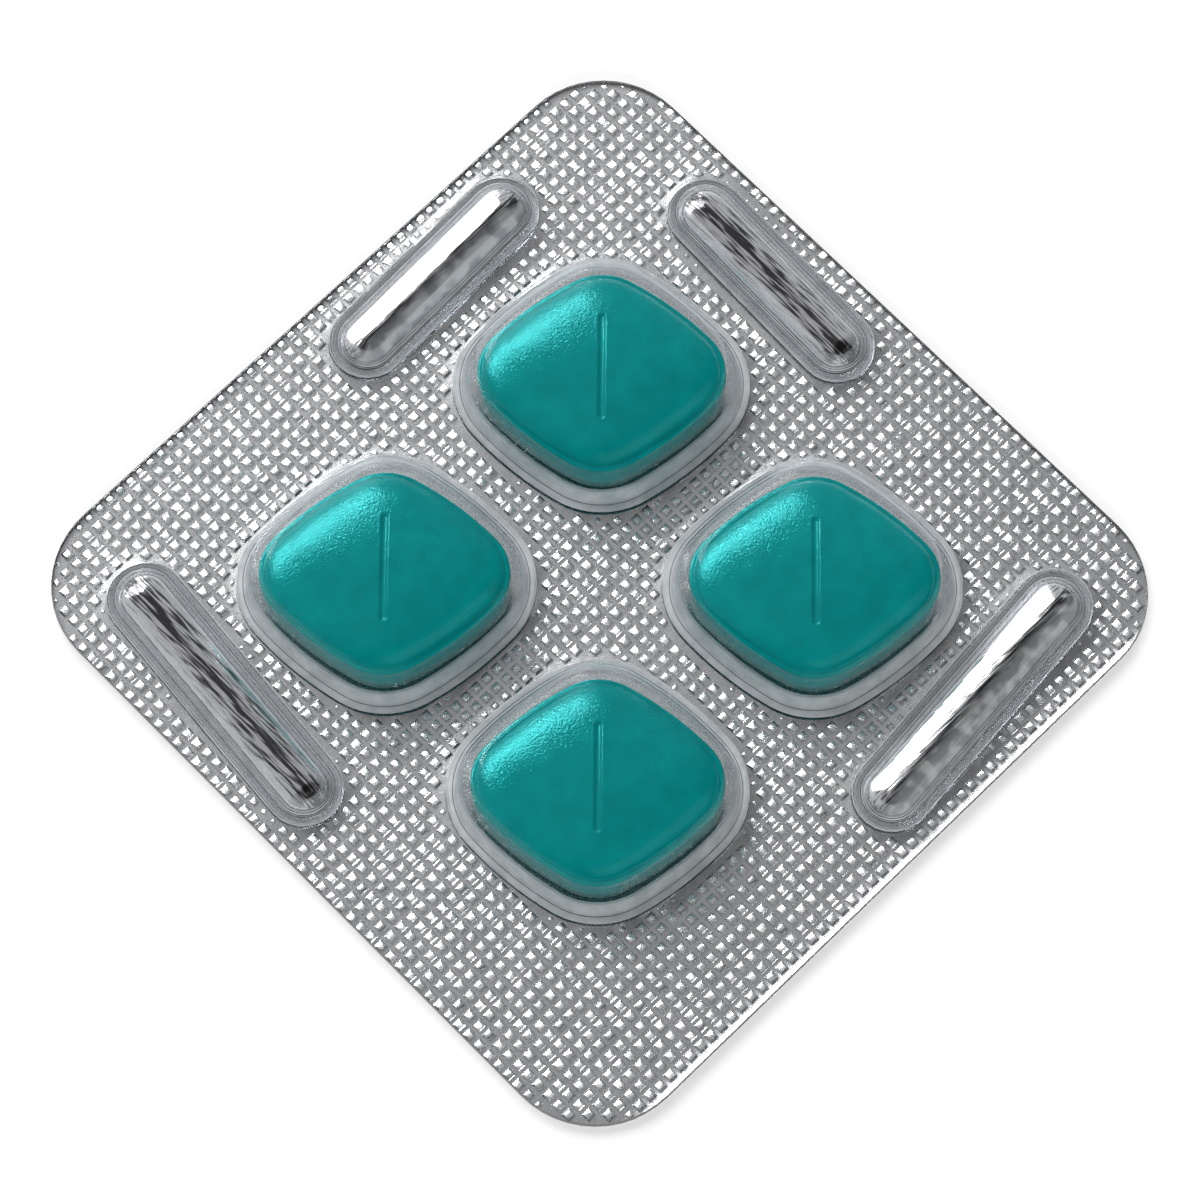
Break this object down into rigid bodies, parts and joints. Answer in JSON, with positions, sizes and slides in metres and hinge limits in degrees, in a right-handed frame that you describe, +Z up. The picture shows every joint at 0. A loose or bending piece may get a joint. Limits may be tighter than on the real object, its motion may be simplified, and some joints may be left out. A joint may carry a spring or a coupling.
{
  "type": "pill blister pack",
  "caption": "Square blister pack: a clear formed film with cushion-shaped pockets and stiffening ribs, sealed to knurled foil over film-coated diamond tablets.",
  "frame": {"origin": "centre of the pack's base, on the underside of the foil", "axes": "+Z up from the foil to the clear film, +X and +Y along the pack's sides, with the short ribs by the +X +Y corner"},
  "size_m": [0.048, 0.048, 0.0055],
  "materials": {
    "clear_film": "clear rigid PVC film, glossy",
    "foil": "bright lidding foil with a square knurled seal",
    "tablet_coating": "glossy teal film coating with a fine orange peel"
  },
  "bodies": {
    "root": {"forming_film": "clear_film", "lidding_foil": "foil", "tablet_1": "tablet_coating", "tablet_2": "tablet_coating", "tablet_3": "tablet_coating", "tablet_4": "tablet_coating"}
  },
  "joints": []
}
